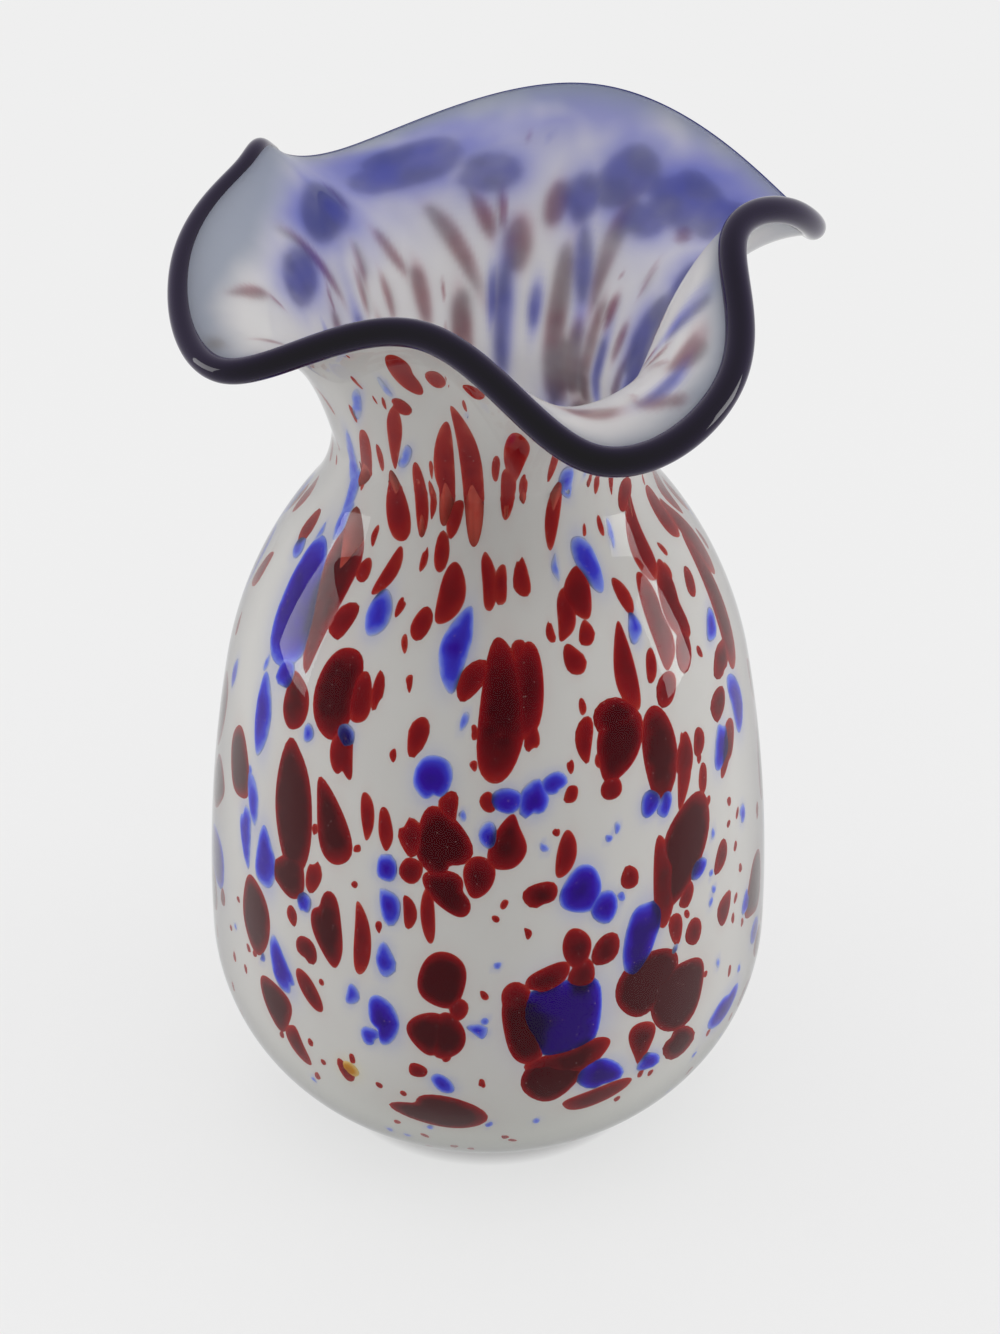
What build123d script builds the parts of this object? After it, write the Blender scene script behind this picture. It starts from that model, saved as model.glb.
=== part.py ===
from build123d import *
from math import asin, atan2, cos, hypot, pi, radians, sin
import os

# Hand blown art glass vase: an opal bubble inside a clear gather, coloured glass chips picked up between the two,
# and a dark trail of glass wound round a mouth pulled into four lobes. Millimetres, +Z up, foot at z = 0.

# Blown body, outer skin: largest radius, shoulder, neck, and the edge of the flat foot
BODY_RADIUS = 66.0
BELLY_HEIGHT = 48.0
SHOULDER_RADIUS = 59.7
SHOULDER_HEIGHT = 118.0
NECK_RADIUS = 34.0
NECK_HEIGHT = 180.0
NECK_CURVE = 32.0
NECK_SWEEP = radians(38)
FOOT_RADIUS = 26.0

# Thickness of the two layers of glass, in the wall and at the floor
CASING_WALL = 1.8
LINING_WALL = 1.4
CASING_FLOOR = 7.0
LINING_FLOOR = 2.5

# Hollow ground into the foot where the pontil iron was broken away
PONTIL_RADIUS = 17.0
PONTIL_DEPTH = 2.0

# Mouth: points along the lip's folds, each an angle, a reach from the axis and a height
FOLDS = [
    (285, 74, 211),
    (315, 69, 217),
    (341, 54, 231),
    (2, 65, 227),
    (27, 75, 212),
    (69, 69, 228),
    (115, 77, 209),
    (137, 69, 221),
    (150, 62, 224),
    (181, 64, 219),
    (218, 66, 213),
    (254, 52, 226),
]
FLARE_RISE = 38.0
FLARE_LEAN = 0.3
FLARE_STATIONS = (0.12, 0.3, 0.5, 0.7, 0.87, 1.0)

# Trail wound on the lip: thickest where it was started, and thinner as the gather ran out
TRAIL_RADIUS = 2.6
TRAIL_SWELL = 0.17
TRAIL_START = radians(300)
TRAIL_STATIONS = 8

# Points that shape each closed ring of the flare, and the small step that its slopes are measured over
RING_POINTS = 40
STEP = 0.001

# Chips of coloured glass, rolled flush into the opal bubble before the clear gather went over them. Those on the
# front are placed one by one: the angle and height of the middle, the width, the length and the lean in degrees
CHIP_DEPTH = 0.7
CHIP_POINTS = 6
CHIP_WOBBLE = 0.1
RED_CHIPS = [
    (224, 101, 14, 32, 8),
    (236, 104, 9, 20, 0),
    (235, 78, 8, 16, 0),
    (273, 136, 9, 36, 0),
    (281, 143, 8, 25, 8),
    (260, 76, 10, 15, 10),
    (261, 60, 14, 12, 0),
    (274, 63, 10, 22, 0),
    (283, 46, 13, 9, 0),
    (308, 64, 24, 18, 20),
    (314, 97, 12, 26, -15),
    (311, 122, 11, 20, 0),
    (294, 124, 11, 15, 0),
    (310, 142, 10, 18, -10),
    (274, 107, 8, 13, 0),
    (260, 108, 9, 11, 0),
    (265, 97, 8, 9, 0),
    (260, 40, 18, 7, 0),
    (234, 137, 14, 20, 0),
    (222, 153, 9, 30, 12),
    (258, 162, 5, 14, 0),
    (272, 162, 7, 15, 0),
    (295, 156, 8, 20, 0),
]
BLUE_CHIPS = [
    (258, 122, 8, 11, 0),
    (282, 118, 9, 11, 0),
    (285, 62, 17, 21, 0),
    (302, 81, 9, 17, -10),
    (289, 96, 8, 12, 0),
    (212, 146, 12, 32, 12),
    (260, 147, 6, 14, 0),
    (250, 96, 5, 12, 0),
    (250, 64, 7, 12, 0),
    (301, 163, 6, 13, 0),
]

# The chips on the back keep the same sizes and spread evenly by the golden angle, every third one blue
BACK_CHIPS = 15
BACK_START = 8
BACK_SPAN = 164
BACK_LOW = 38
BACK_HIGH = 158
BACK_WIDTH = 13
BACK_NARROWING = 5
GOLDEN_SHARE = 0.618


def on_circle(angle, radius, height):
    return Vector(radius * cos(angle), radius * sin(angle), height)


def closed_spline(points):
    """A smooth closed curve through evenly numbered points, with the slope at its seam of an endless spline."""
    seam = Vector()
    for k in range(1, len(points) // 2):
        seam -= (points[k] - points[-k]) * 3 * (3**0.5 - 2) ** k
    return Edge.make_spline(
        [*points, points[0]], tangents=[seam, seam], parameters=range(len(points) + 1), scale=False
    )


RIM = closed_spline([on_circle(radians(a), r, h) for a, r, h in FOLDS])


def body_solid(inset, floor):
    """The body filled from its floor to the neck, at a depth inside the outer skin."""
    lean = 2 * atan2(BODY_RADIUS - SHOULDER_RADIUS, SHOULDER_HEIGHT - BELLY_HEIGHT)
    reach = NECK_CURVE + inset
    belly = Vector(BODY_RADIUS - inset, 0, BELLY_HEIGHT)
    shoulder = Vector(SHOULDER_RADIUS - inset * cos(lean), 0, SHOULDER_HEIGHT - inset * sin(lean))
    nape = Vector(NECK_RADIUS + NECK_CURVE - reach * cos(NECK_SWEEP), 0, NECK_HEIGHT - reach * sin(NECK_SWEEP))
    neck = Vector(NECK_RADIUS - inset, 0, NECK_HEIGHT)
    foot = Vector(FOOT_RADIUS, 0, floor)
    side = TangentArc(belly, shoulder, tangent=(0, 0, 1))
    curves = [
        TangentArc(belly, foot, tangent=(0, 0, -1)),
        side,
        TangentArc(shoulder, nape, tangent=side % 1),
        TangentArc(neck, nape, tangent=(0, 0, -1)),
        *Polyline(foot, (0, 0, floor), (0, 0, NECK_HEIGHT), neck).edges(),
    ]
    return revolve(make_face(curves), axis=Axis.Z)


def flare_point(turn, share):
    """A point of the flare's outer skin: a turn round the mouth, and a share of the way from the neck to the lip."""
    lip = RIM @ (turn % 1)
    reach = hypot(lip.X, lip.Y)
    start = Vector(NECK_RADIUS, NECK_HEIGHT)
    pull = Vector(NECK_RADIUS + FLARE_LEAN * (reach - NECK_RADIUS), NECK_HEIGHT + FLARE_RISE)
    spot = start * (1 - share) ** 2 + pull * 2 * share * (1 - share) + Vector(reach, lip.Z) * share**2
    return on_circle(atan2(lip.Y, lip.X), spot.X, spot.Y)


def flare_frame(turn, share):
    """The outer skin's point there, with its outward direction and the way across it towards the lip."""
    along = flare_point(turn + STEP, share) - flare_point(turn - STEP, share)
    climb = flare_point(turn, share + STEP) - flare_point(turn, share - STEP)
    out = along.cross(climb).normalized()
    return flare_point(turn, share), out, out.cross(along).normalized()


def closed_ring(place):
    return Wire([closed_spline([place(i / RING_POINTS) for i in range(RING_POINTS)])])


def flare_ring(share, inset):
    def place(turn):
        spot, out, _ = flare_frame(turn, share)
        return spot - out * inset

    return closed_ring(place)


def flare_skin(inset):
    """The ruffled skin at a depth, from the neck's circle to the lip."""
    start = RIM @ 0
    neck = Plane((0, 0, NECK_HEIGHT), x_dir=(start.X, start.Y, 0), z_dir=(0, 0, 1))
    rings = [flare_ring(share, inset) for share in FLARE_STATIONS]
    return Shell.make_loft([Wire([Edge.make_circle(NECK_RADIUS - inset, neck)]), *rings])


def end_edges(skin):
    """A skin's lowest and highest closed edges."""
    edges = skin.edges().filter_by(lambda edge: edge.is_closed).sort_by(Axis.Z)
    return edges[0], edges[-1]


def lip_band(outer, inner):
    return Face.make_surface_from_curves(end_edges(outer)[1], end_edges(inner)[1])


def flare_wall(outer, inner):
    """A layer of the flare between two skins, closed at the neck and along the lip."""
    foot = Face(Wire([end_edges(outer)[0]]), [Wire([end_edges(inner)[0]])])
    return Solid(Shell([*outer.faces(), *inner.faces(), foot, lip_band(outer, inner)]))


def lip_trail(outer, middle, inner):
    """The round trail seated on the flat lip of both layers."""
    half = (CASING_WALL + LINING_WALL) / 2

    def ring(share):
        def place(turn):
            spot, out, rise = flare_frame(turn, 1.0)
            radius = TRAIL_RADIUS * (1 + TRAIL_SWELL * cos(atan2(spot.Y, spot.X) - TRAIL_START))
            dip = asin(half / radius)
            core = spot - out * half + rise * radius * cos(dip)
            angle = dip - pi / 2 + share * (2 * pi - 2 * dip)
            return core + (out * cos(angle) + rise * sin(angle)) * radius

        return closed_ring(place)

    rings = [ring(i / TRAIL_STATIONS) for i in range(1, TRAIL_STATIONS)]
    lips = [Wire([end_edges(skin)[1]]) for skin in (outer, inner)]
    skin = Shell.make_loft([lips[0], *rings, lips[1]])
    return Solid(Shell([*skin.faces(), lip_band(outer, middle), lip_band(middle, inner)]))


def back_chips():
    chips = []
    for i in range(BACK_CHIPS):
        angle = BACK_START + BACK_SPAN * (i * GOLDEN_SHARE % 1)
        height = BACK_LOW + (BACK_HIGH - BACK_LOW) * i / (BACK_CHIPS - 1)
        width = BACK_WIDTH - BACK_NARROWING * i / BACK_CHIPS
        chips.append((angle, height, width, width * (1 + i / BACK_CHIPS), 0))
    return chips


def chip_outline(width, length, phase):
    """A rough oval, as the heat leaves a broken chip. Each phase gives another shape."""
    points = []
    for k in range(CHIP_POINTS):
        turn = 2 * pi * k / CHIP_POINTS
        swell = 1 + CHIP_WOBBLE * (cos(2 * turn + phase) + cos(3 * turn + 2 * phase))
        points.append(Vector(width / 2 * cos(turn), length / 2 * sin(turn)) * swell)
    return Face(Wire([closed_spline(points)]))


def chip_column(angle, height, width, length, lean):
    """A column with a chip's outline, reaching from inside the vase out through its wall."""
    facing = on_circle(radians(angle), 1, 0)
    plane = Plane(facing * FOOT_RADIUS + Vector(0, 0, height), x_dir=Vector(0, 0, 1).cross(facing), z_dir=facing)
    outline = chip_outline(width, length, angle + height)
    return extrude(plane * Rot(0, 0, lean) * outline, amount=BODY_RADIUS, dir=facing)


def chip_columns(chips):
    return Part() + [chip_column(*chip) for chip in chips]


def pontil_hollow():
    radius = (PONTIL_RADIUS**2 + PONTIL_DEPTH**2) / (2 * PONTIL_DEPTH)
    return Pos(0, 0, PONTIL_DEPTH - radius) * Sphere(radius)


def build():
    casing_depth = CASING_WALL
    lining_depth = CASING_WALL + LINING_WALL
    outer = body_solid(0, 0)
    middle = body_solid(casing_depth, CASING_FLOOR)
    inner = body_solid(lining_depth, CASING_FLOOR + LINING_FLOOR)
    outer_skin = flare_skin(0)
    middle_skin = flare_skin(casing_depth)
    inner_skin = flare_skin(lining_depth)

    back = back_chips()
    reds = chip_columns(RED_CHIPS + [chip for i, chip in enumerate(back) if i % 3])
    blues = chip_columns(BLUE_CHIPS + back[::3]) - reds
    chip_layer = middle - body_solid(casing_depth + CHIP_DEPTH, CASING_FLOOR + CHIP_DEPTH)
    red_chips = chip_layer & reds
    blue_chips = chip_layer & blues

    casing_body = outer - middle - pontil_hollow()
    lining_body = middle - inner - red_chips - blue_chips
    return {
        "clear_casing": casing_body + flare_wall(outer_skin, middle_skin),
        "opal_lining": lining_body + flare_wall(middle_skin, inner_skin),
        "lip_trail": lip_trail(outer_skin, middle_skin, inner_skin),
        "red_chips": red_chips,
        "blue_chips": blue_chips,
    }


os.makedirs("parts", exist_ok=True)
for name, piece in build().items():
    export_step(piece, f"parts/{name}.step")
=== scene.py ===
import math

import bmesh
import bpy
import numpy as np
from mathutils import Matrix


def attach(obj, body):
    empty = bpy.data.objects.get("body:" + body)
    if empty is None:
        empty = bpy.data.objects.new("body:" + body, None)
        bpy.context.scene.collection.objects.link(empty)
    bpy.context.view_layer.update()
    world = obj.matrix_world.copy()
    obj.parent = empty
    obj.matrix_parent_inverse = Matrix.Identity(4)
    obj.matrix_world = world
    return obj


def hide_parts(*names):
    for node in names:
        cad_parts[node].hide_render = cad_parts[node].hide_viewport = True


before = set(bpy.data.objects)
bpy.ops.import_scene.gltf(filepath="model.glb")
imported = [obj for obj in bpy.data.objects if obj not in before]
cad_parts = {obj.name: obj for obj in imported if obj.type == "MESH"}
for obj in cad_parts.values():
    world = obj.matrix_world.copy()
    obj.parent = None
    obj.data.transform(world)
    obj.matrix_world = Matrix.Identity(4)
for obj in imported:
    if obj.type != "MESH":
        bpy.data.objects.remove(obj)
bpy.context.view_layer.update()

# The blown form, in metres: the same sizes as the CAD part
BODY_RADIUS = 0.066
BELLY_HEIGHT = 0.048
SHOULDER_RADIUS = 0.0597
SHOULDER_HEIGHT = 0.118
NECK_RADIUS = 0.034
NECK_HEIGHT = 0.180
NECK_CURVE = 0.032
NECK_SWEEP = math.radians(38)
FOOT_RADIUS = 0.026
CASING_WALL = 0.0018
LINING_WALL = 0.0014
CASING_FLOOR = 0.007
LINING_FLOOR = 0.0025
PONTIL_RADIUS = 0.017
PONTIL_DEPTH = 0.002

# The lip's folds: a direction in degrees, a reach from the axis and a height
FOLDS = [
    (285, 0.074, 0.211),
    (315, 0.069, 0.217),
    (341, 0.054, 0.231),
    (2, 0.065, 0.227),
    (27, 0.075, 0.212),
    (69, 0.069, 0.228),
    (115, 0.077, 0.209),
    (137, 0.069, 0.221),
    (150, 0.062, 0.224),
    (181, 0.064, 0.219),
    (218, 0.066, 0.213),
    (254, 0.052, 0.226),
]
FLARE_RISE = 0.038
FLARE_LEAN = 0.3

# The thread on the lip: how thick it is where it was started, and how much that varies on the way round
TRAIL_RADIUS = 0.0026
TRAIL_SWELL = 0.17
TRAIL_START = math.radians(300)

# How finely the skins and the thread are drawn
COLUMNS = 320
BODY_ROWS = 100
FLARE_ROWS = 42
FOOT_RINGS = 10
TRAIL_COLUMNS = 2 * COLUMNS
TRAIL_ROWS = 24

# How finely the curves behind them are worked out, and the small steps that their slopes are measured over
FOLD_POINTS = 512
LIP_POINTS = 4096
ARC_POINTS = 200
FLARE_STEP = 0.004
BODY_STEP = 0.002

# Points closer than this are welded, in metres
WELD = 1e-7

TURN = 2 * math.pi
MM = 0.001


# ---------------------------------------------------------------- the form

def closed_curve(points, count):
    """Evenly spaced points along the smooth closed curve through some points."""
    n = len(points)
    wrap = np.eye(n) * 4 + np.roll(np.eye(n), 1, 0) + np.roll(np.eye(n), -1, 0)
    slope = np.linalg.solve(wrap, 3 * (np.roll(points, -1, 0) - np.roll(points, 1, 0)))
    t = np.linspace(0, 1, FOLD_POINTS, endpoint=False)[:, None]
    spans = []
    for i in range(n):
        a, b = points[i], points[(i + 1) % n]
        u, v = slope[i], slope[(i + 1) % n]
        spans.append(a + u * t + (3 * (b - a) - 2 * u - v) * t**2 + (2 * (a - b) + u + v) * t**3)
    curve = np.concatenate(spans)
    gaps = np.linalg.norm(np.roll(curve, -1, 0) - curve, axis=1)
    along = np.concatenate([[0], np.cumsum(gaps)])
    curve = np.vstack([curve, curve[:1]])
    want = np.linspace(0, along[-1], count, endpoint=False)
    return np.stack([np.interp(want, along, curve[:, k]) for k in range(3)], 1)


def lip_curve():
    """The lip's reach and height for each direction round the axis, over one turn and a turn to each side."""
    a, r, z = np.array(FOLDS).T
    points = np.stack([r * np.cos(np.radians(a)), r * np.sin(np.radians(a)), z], 1)
    curve = closed_curve(points, LIP_POINTS)
    angle = np.arctan2(curve[:, 1], curve[:, 0]) % TURN
    order = np.argsort(angle)
    turns = np.concatenate([angle[order] + k * TURN for k in (-1, 0, 1)])
    return turns, np.tile(np.hypot(curve[:, 0], curve[:, 1])[order], 3), np.tile(curve[order, 2], 3)


LIP_ANGLE, LIP_REACH, LIP_HEIGHT = lip_curve()


def unit(v):
    return v / np.linalg.norm(v, axis=-1, keepdims=True)


def tangent_arc(start, way, end):
    """Points on the arc that leaves start along way and reaches end."""
    start, way, end = np.array(start), np.array(way), np.array(end)
    chord = end - start
    side = np.array([-way[1], way[0]])
    turn = 2 * math.atan2(chord @ side, chord @ way)
    t = np.linspace(0, 1, ARC_POINTS)[:, None]
    radius = np.linalg.norm(chord) / (2 * math.sin(abs(turn) / 2))
    centre = start + side * radius * math.copysign(1, turn)
    spoke = start - centre
    c, s = np.cos(turn * t), np.sin(turn * t)
    return centre + np.hstack([c * spoke[0] - s * spoke[1], s * spoke[0] + c * spoke[1]])


def body_profile(inset, floor):
    """Radius and height up the body at a depth inside the outer skin, from the floor's edge to the neck, with the
    share of the way up at each point."""
    lean = 2 * math.atan2(BODY_RADIUS - SHOULDER_RADIUS, SHOULDER_HEIGHT - BELLY_HEIGHT)
    reach = NECK_CURVE + inset
    belly = (BODY_RADIUS - inset, BELLY_HEIGHT)
    shoulder = (SHOULDER_RADIUS - inset * math.cos(lean), SHOULDER_HEIGHT - inset * math.sin(lean))
    nape = (
        NECK_RADIUS + NECK_CURVE - reach * math.cos(NECK_SWEEP),
        NECK_HEIGHT - reach * math.sin(NECK_SWEEP),
    )
    heel = tangent_arc(belly, (0, -1), (FOOT_RADIUS, floor))[::-1]
    side = tangent_arc(belly, (0, 1), shoulder)
    crown = tangent_arc(shoulder, (-math.sin(lean), math.cos(lean)), nape)
    throat = tangent_arc((NECK_RADIUS - inset, NECK_HEIGHT), (0, -1), nape)[::-1]
    points = np.vstack([heel, side[1:], crown[1:], throat[1:]])
    along = np.concatenate([[0], np.cumsum(np.linalg.norm(np.diff(points, axis=0), axis=1))])
    return along / along[-1], points


class Skin:
    """One skin of the glass. climb runs from 0 at the floor's edge to 1 at the neck and 2 at the lip."""

    def __init__(self, inset, floor):
        self.inset = inset
        self.floor = floor
        self.along, self.profile = body_profile(inset, floor)

    def body(self, angle, climb):
        r = np.interp(climb, self.along, self.profile[:, 0])
        z = np.interp(climb, self.along, self.profile[:, 1])
        return np.stack([r * np.cos(angle), r * np.sin(angle), z], -1)

    def flare(self, angle, share):
        """Points on the outer skin of the mouth, at a share of the way from the neck to the lip."""
        turn = angle % TURN
        reach = np.interp(turn, LIP_ANGLE, LIP_REACH)
        height = np.interp(turn, LIP_ANGLE, LIP_HEIGHT)
        a, b, c = (1 - share) ** 2, 2 * share * (1 - share), share**2
        r = a * NECK_RADIUS + b * (NECK_RADIUS + FLARE_LEAN * (reach - NECK_RADIUS)) + c * reach
        z = a * NECK_HEIGHT + b * (NECK_HEIGHT + FLARE_RISE) + c * height
        return np.stack([r * np.cos(angle), r * np.sin(angle), z], -1)

    def flare_axes(self, angle, share):
        """The directions out of the mouth's skin and up along it."""
        along = self.flare(angle + FLARE_STEP, share) - self.flare(angle - FLARE_STEP, share)
        rise = self.flare(angle, share + FLARE_STEP) - self.flare(angle, share - FLARE_STEP)
        out = unit(np.cross(along, rise))
        return out, unit(np.cross(out, along))

    def body_out(self, angle, climb):
        """The direction out of the body's skin."""
        above = self.body(angle, np.minimum(climb, 1 - BODY_STEP) + BODY_STEP)
        below = self.body(angle, np.clip(climb - BODY_STEP, 0, 1 - BODY_STEP))
        around = np.stack([-np.sin(angle), np.cos(angle), 0 * angle], -1)
        return unit(np.cross(around, above - below))

    def at(self, angle, climb, lift=0.0):
        """Points on the skin, or lifted off it along its outward direction."""
        angle, climb = np.broadcast_arrays(np.asarray(angle, float), np.asarray(climb, float))
        lift = np.broadcast_to(lift, angle.shape)[..., None]
        share = np.maximum(climb - 1, 0)
        out, _ = self.flare_axes(angle, share)
        high = self.flare(angle, share) + out * (lift - self.inset)
        low = self.body(angle, np.minimum(climb, 1)) + self.body_out(angle, climb) * lift
        return np.where((climb > 1)[..., None], high, low)


OUTER = Skin(0, 0)
MIDDLE = Skin(CASING_WALL, CASING_FLOOR)
INNER = Skin(CASING_WALL + LINING_WALL, CASING_FLOOR + LINING_FLOOR)

# The casing's hidden inner side lies within the opal, so that no two surfaces coincide
BURIED = Skin(CASING_WALL + LINING_WALL / 2, CASING_FLOOR + LINING_FLOOR / 2)

ANGLES = np.linspace(0, TURN, COLUMNS, endpoint=False)
CLIMBS = np.concatenate([np.linspace(0, 1, BODY_ROWS), 1 + np.linspace(0, 1, FLARE_ROWS + 1)[1:]])


# ---------------------------------------------------------------- drawing out glass

def ring_edges(bm, ring):
    return [bm.edges.get(pair) for pair in zip(ring, ring[1:] + ring[:1])]


def put(ring, spots):
    for vert, spot in zip(ring, spots):
        vert.co = spot


def note(ring, layer, values):
    for vert, value in zip(ring, values):
        vert[layer] = value


def draw_out(bm, ring, spots):
    """Extrudes an open ring of points and puts the new ring in its place."""
    made = bmesh.ops.extrude_edge_only(bm, edges=ring_edges(bm, ring))["geom"]
    fresh = {part for part in made if isinstance(part, bmesh.types.BMVert)}
    reached = [next(e.other_vert(v) for e in v.link_edges if e.other_vert(v) in fresh) for v in ring]
    put(reached, spots)
    return reached


def finished(name, bm):
    """A smooth piece from its bmesh."""
    mesh = bpy.data.meshes.new(name)
    bm.to_mesh(mesh)
    bm.free()
    mesh.shade_smooth()
    piece = bpy.data.objects.new(name, mesh)
    bpy.context.collection.objects.link(piece)
    return piece


def keep(piece, name, values):
    """Keeps one number for each point of a mesh, for its material to read."""
    layer = piece.data.attributes.new(name, "FLOAT", "POINT")
    layer.data.foreach_set("value", np.asarray(values, np.float32))


# ---------------------------------------------------------------- the casing and the lining

def floor_rings(height):
    """Rings across the round floor, from near its middle out to near its edge."""
    rings = []
    for share in np.linspace(0, 1, FOOT_RINGS + 1)[1:-1]:
        r = FOOT_RADIUS * share
        rings.append(np.stack([r * np.cos(ANGLES), r * np.sin(ANGLES), height(r) + 0 * ANGLES], 1))
    return rings


def foot_height(r):
    """The underside of the foot: flat, with a shallow round hollow ground into its middle."""
    ball = (PONTIL_RADIUS**2 + PONTIL_DEPTH**2) / (2 * PONTIL_DEPTH)
    return math.sqrt(ball**2 - r**2) - ball + PONTIL_DEPTH if r < PONTIL_RADIUS else 0.0


def vessel(name, outside, inside, underside, inner_finish=0):
    """A layer of glass between two skins, shaped from a sheet that is rolled round and welded. Its rings go up
    the outside from the middle of the foot to the lip, and down the inside to the middle of the floor. Each point
    keeps how far up the wall it is, and the inside takes a finish of its own."""
    rings = [np.tile([0, 0, underside(0)], (COLUMNS, 1)), *floor_rings(underside)]
    climbs = [0.0] * FOOT_RINGS + [*CLIMBS, *CLIMBS[::-1]] + [0.0] * FOOT_RINGS
    rings += [outside.at(ANGLES, climb) for climb in CLIMBS]
    inner_start = len(rings)
    rings += [inside.at(ANGLES, climb) for climb in CLIMBS[::-1]]
    rings += floor_rings(lambda r: inside.floor)[::-1]
    rings += [np.tile([0, 0, inside.floor], (COLUMNS, 1))]

    bm = bmesh.new()
    kept = bm.verts.layers.float.new("climb")
    bmesh.ops.create_grid(bm, x_segments=COLUMNS, y_segments=len(rings) - 1, size=1.0)
    x, y, _ = np.array([vert.co for vert in bm.verts]).T
    row = np.rint((y + 1) / 2 * (len(rings) - 1)).astype(int)
    column = np.rint((x + 1) / 2 * COLUMNS).astype(int) % COLUMNS
    put(bm.verts, np.array(rings)[row, column])
    note(bm.verts, kept, np.array(climbs)[row])
    bm.verts.index_update()
    for face in bm.faces:
        if min(row[vert.index] for vert in face.verts) >= inner_start:
            face.material_index = inner_finish
    bmesh.ops.remove_doubles(bm, verts=bm.verts, dist=WELD)
    bmesh.ops.recalc_face_normals(bm, faces=bm.faces)
    return finished(name, bm)


casing = vessel("clear_casing_glass", OUTER, BURIED, foot_height)
lining = vessel("opal_lining_glass", MIDDLE, INNER, lambda r: CASING_FLOOR, 1)


# ---------------------------------------------------------------- chips of coloured glass

BODY_LENGTH = float(np.linalg.norm(np.diff(MIDDLE.profile, axis=0), axis=1).sum())
FLARE_LENGTH = 0.055

# A chip's points round its edge, and its rings as shares of its size: many on a long chip and few on a short one
LONG_CHIP = (36, (1.0, 0.94, 0.85, 0.7, 0.45))
SHORT_CHIP = (16, (1.0, 0.82, 0.5))
SHORT = 0.0055

# How thick a broad chip is and how little it sinks into the opal. A chip narrower than BROAD is thinner in
# proportion, and no two are quite as thick, so that their tops never coincide
CHIP_DEPTH = 0.0005
CHIP_SINK = 0.00004
BROAD = 0.003
LEAST_DEPTH = 0.75
BLUE_LIFT = 1.5

# How far in from its edge the colour of a chip deepens, and the half width at which it is at its darkest
RED_EDGE = 0.0010
BLUE_EDGE = 0.0014
DEEPEST = 0.0050
PALEST = 0.55

# How far a stain fades out past the edge of its chip, as a share of the chip's size
RED_BLEED = 0.18
BLUE_BLEED = 0.22
AMBER_BLEED = 0.4
WASH_BLEED = 0.35
CROSSED_BLEED = 0.06

# The chips of the front, placed one by one. Each has the direction and height of its middle, its width and
# length in mm, and its lean in degrees. The CAD part has the largest of them
RED_FRONT = [
    (235, 175, 5, 15, 10), (245, 178, 3, 15, 5), (258, 175, 3, 9, -10), (254, 167, 3, 9, 0),
    (294, 174, 3, 15, -10), (329, 172, 5, 7, -25), (328, 162, 5, 20, -10), (328, 149, 6, 17, -10),
    (339, 149, 4, 6, -30), (347, 140, 7, 31, -10), (320, 148, 6, 18, -5), (312, 155, 3, 9, 5),
    (325, 140, 5, 9, -25), (338, 131, 6, 9, -60), (332, 124, 6, 7, -10), (313, 141, 3, 7, -15),
    (316, 135, 5, 8, -25), (220, 155, 9, 32, 5), (228, 160, 3, 6, -5), (228, 150, 5, 9, -25),
    (237, 161, 3, 12, -15), (251, 154, 4, 7, -15), (258, 160, 5, 13, -5), (270, 162, 3, 12, 0),
    (274, 162, 3, 8, 0), (281, 163, 3, 9, 0), (298, 158, 6, 10, -10), (293, 155, 4, 10, -10),
    (297, 151, 3, 6, -10), (292, 147, 4, 7, 15), (306, 143, 5, 17, -5), (300, 134, 10, 8, -15),
    (310, 123, 9, 20, -5), (317, 119, 5, 10, -10), (322, 120, 4, 6, -5), (333, 113, 5, 12, -25),
    (221, 130, 7, 12, 10), (232, 137, 10, 20, -5), (239, 138, 5, 11, 10), (243, 140, 3, 7, 5),
    (204, 107, 9, 17, 15), (254, 133, 4, 9, -20), (266, 145, 5, 9, -30), (273, 139, 9, 30, -5),
    (280, 143, 7, 17, -5), (278, 150, 3, 5, -15), (280, 133, 3, 6, -5), (195, 159, 4, 9, 0),
    (292, 131, 4, 9, -10), (300, 128, 10, 15, -25), (225, 107, 12, 26, 5), (226, 90, 9, 11, 0),
    (236, 107, 8, 18, 10), (244, 113, 3, 11, 5), (248, 111, 3, 10, 5), (237, 125, 5, 12, 5),
    (254, 110, 5, 9, 5), (260, 109, 10, 16, 5), (262, 118, 4, 7, 0), (262, 98, 8, 11, 40),
    (268, 102, 6, 10, -5), (254, 102, 5, 6, 0), (254, 92, 3, 8, 5), (258, 92, 3, 14, 0),
    (274, 110, 7, 12, -10), (270, 120, 3, 5, 0), (281, 97, 7, 6, 5), (286, 106, 4, 11, -15),
    (300, 96, 4, 6, -15), (314, 97, 13, 22, -25), (308, 91, 6, 21, -5), (314, 85, 4, 6, -25),
    (311, 78, 4, 8, 0), (316, 74, 5, 7, -5), (326, 88, 5, 7, -20), (326, 73, 5, 8, -10),
    (316, 116, 4, 15, -10), (322, 111, 3, 7, -5), (288, 120, 3, 4, 0), (297, 119, 5, 5, -5),
    (304, 67, 14, 17, -60), (312, 59, 16, 17, -40), (294, 80, 6, 8, -10), (288, 82, 6, 10, 10),
    (282, 75, 6, 10, -60), (277, 65, 7, 18, 20), (283, 48, 13, 13, 5), (302, 51, 6, 11, 5),
    (312, 45, 10, 8, -45), (292, 38, 6, 15, -85), (261, 75, 10, 14, 0), (264, 68, 4, 6, 0),
    (258, 60, 8, 11, -5), (262, 60, 8, 11, 0), (256, 49, 4, 4, 0), (260, 36, 19, 11, -5),
    (236, 82, 8, 16, 5), (244, 82, 4, 17, 0), (232, 93, 4, 8, -5), (227, 80, 3, 5, 0),
    (215, 72, 10, 19, 5), (231, 73, 6, 6, 10), (232, 62, 5, 10, 35), (222, 52, 9, 13, 15),
    (228, 44, 5, 10, 35), (240, 43, 3, 7, 20), (277, 62, 9, 20, 10), (287, 52, 7, 20, -75),
    (289, 74, 6, 8, 0),
]
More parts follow.
